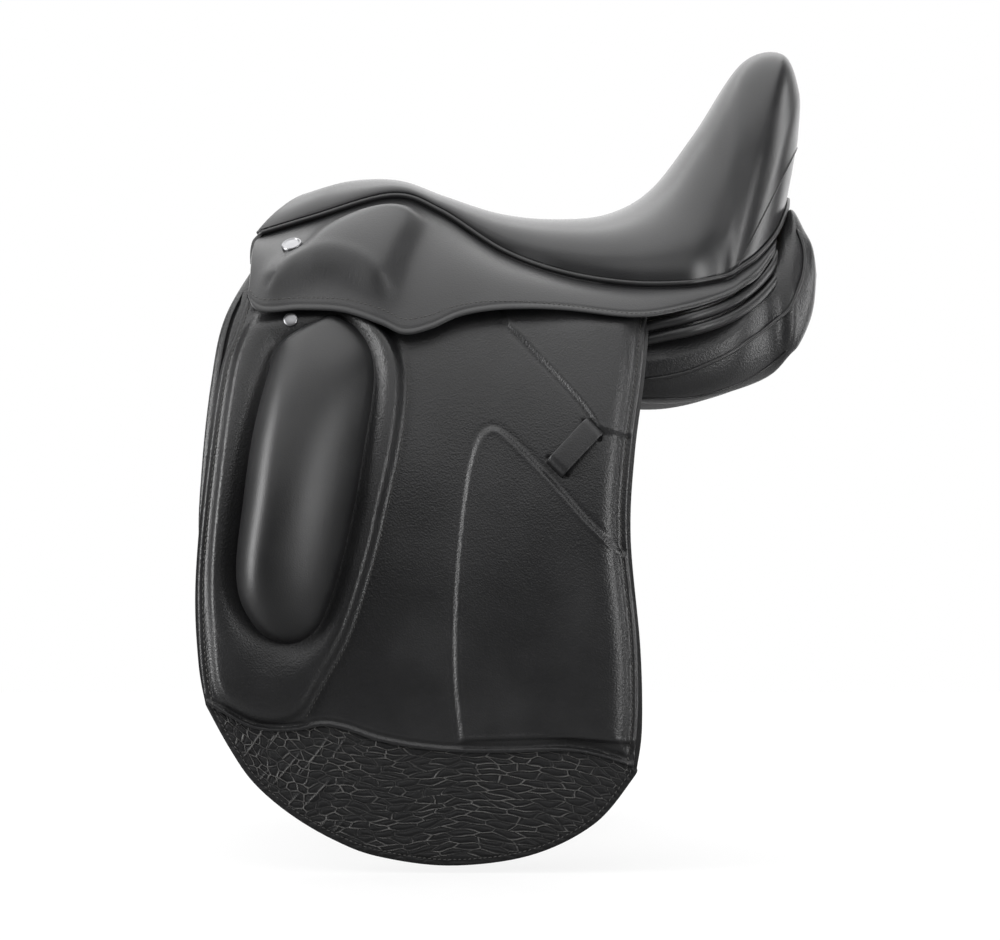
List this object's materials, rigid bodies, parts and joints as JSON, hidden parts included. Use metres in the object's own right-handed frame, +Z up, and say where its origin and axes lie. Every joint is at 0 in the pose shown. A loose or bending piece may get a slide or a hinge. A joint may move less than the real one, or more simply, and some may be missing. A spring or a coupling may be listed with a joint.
{
  "type": "dressage saddle",
  "caption": "Black leather dressage saddle with a deep seat, long straight flaps, thigh blocks and lifting skirts over the stirrup bars.",
  "frame": {"origin": "on the centreline at half length, at the level where the panels bear on the horse's back", "axes": "+Z up, -X forward to the pommel, -Y to the rider's left"},
  "size_m": [0.5009, 0.4922, 0.6646],
  "materials": {
    "leather": "smooth and grained black leather",
    "steel": "bright nickel-like steel",
    "laminate": "laminated beech",
    "webbing": "woven tape",
    "foam": "seat foam"
  },
  "bodies": {
    "saddle": {"tree": "laminate", "head_plate": "steel", "head_plate_rivets": "steel", "seat_web": "webbing", "seat_cross_webs": "webbing", "seat_foam": "foam", "seat": "leather", "cantle_cover": "leather", "seat_welt": "leather", "pommel_facing": "leather", "rear_roll_upper": "leather", "rear_roll_lower": "leather", "stirrup_bar_left": "steel", "bar_rivets_left": "steel", "girth_web_left": "webbing", "panel_left": "leather", "panel_welt_left": "leather", "sweat_flap_left": "leather", "skirt_band_left": "leather", "flap_head_left": "leather", "flap_stud_left": "steel", "stirrup_bar_right": "steel", "bar_rivets_right": "steel", "girth_web_right": "webbing", "panel_right": "leather", "panel_welt_right": "leather", "sweat_flap_right": "leather", "skirt_band_right": "leather", "flap_head_right": "leather", "flap_stud_right": "steel"},
    "flap_left": {"flap_left": "leather", "flap_cover_left": "leather", "thigh_block_left": "leather", "keeper_left": "leather"},
    "skirt_left": {"skirt_left": "leather", "saddle_nail_left": "steel"},
    "catch_left": {"stirrup_catch_left": "steel"},
    "strap_front_left": {"girth_strap_front_left": "leather"},
    "strap_rear_left": {"girth_strap_rear_left": "leather"},
    "flap_right": {"flap_right": "leather", "flap_cover_right": "leather", "thigh_block_right": "leather", "keeper_right": "leather"},
    "skirt_right": {"skirt_right": "leather", "saddle_nail_right": "steel"},
    "catch_right": {"stirrup_catch_right": "steel"},
    "strap_front_right": {"girth_strap_front_right": "leather"},
    "strap_rear_right": {"girth_strap_rear_right": "leather"}
  },
  "joints": [
    {"name": "flap_lift_left", "type": "hinge", "parent": "saddle", "child": "flap_left", "pos_m": [0, -0.14194, 0.05437], "axis": [-1, 0, 0], "range_deg": [0, 25]},
    {"name": "skirt_lift_left", "type": "hinge", "parent": "saddle", "child": "skirt_left", "pos_m": [0, -0.062, 0.17], "axis": [-1, 0, 0], "range_deg": [0, 60]},
    {"name": "catch_turn_left", "type": "hinge", "parent": "saddle", "child": "catch_left", "pos_m": [-0.08286, -0.10677, 0.12705], "axis": [0, -0.7424, 0.6699], "range_deg": [0, 85]},
    {"name": "strap_swing_front_left", "type": "hinge", "parent": "saddle", "child": "strap_front_left", "pos_m": [-0.062, -0.14385, 0.03], "axis": [0, 1, 0], "range_deg": [-5, 12]},
    {"name": "strap_swing_rear_left", "type": "hinge", "parent": "saddle", "child": "strap_rear_left", "pos_m": [0.03, -0.14385, 0.03], "axis": [0, 1, 0], "range_deg": [-12, 5]},
    {"name": "flap_lift_right", "type": "hinge", "parent": "saddle", "child": "flap_right", "pos_m": [0, 0.14194, 0.05437], "axis": [1, 0, 0], "range_deg": [0, 25]},
    {"name": "skirt_lift_right", "type": "hinge", "parent": "saddle", "child": "skirt_right", "pos_m": [0, 0.062, 0.17], "axis": [1, 0, 0], "range_deg": [0, 60]},
    {"name": "catch_turn_right", "type": "hinge", "parent": "saddle", "child": "catch_right", "pos_m": [-0.08286, 0.10677, 0.12705], "axis": [0, -0.7424, -0.6699], "range_deg": [0, 85]},
    {"name": "strap_swing_front_right", "type": "hinge", "parent": "saddle", "child": "strap_front_right", "pos_m": [-0.062, 0.14385, 0.03], "axis": [0, 1, 0], "range_deg": [-5, 12]},
    {"name": "strap_swing_rear_right", "type": "hinge", "parent": "saddle", "child": "strap_rear_right", "pos_m": [0.03, 0.14385, 0.03], "axis": [0, 1, 0], "range_deg": [-12, 5]}
  ]
}
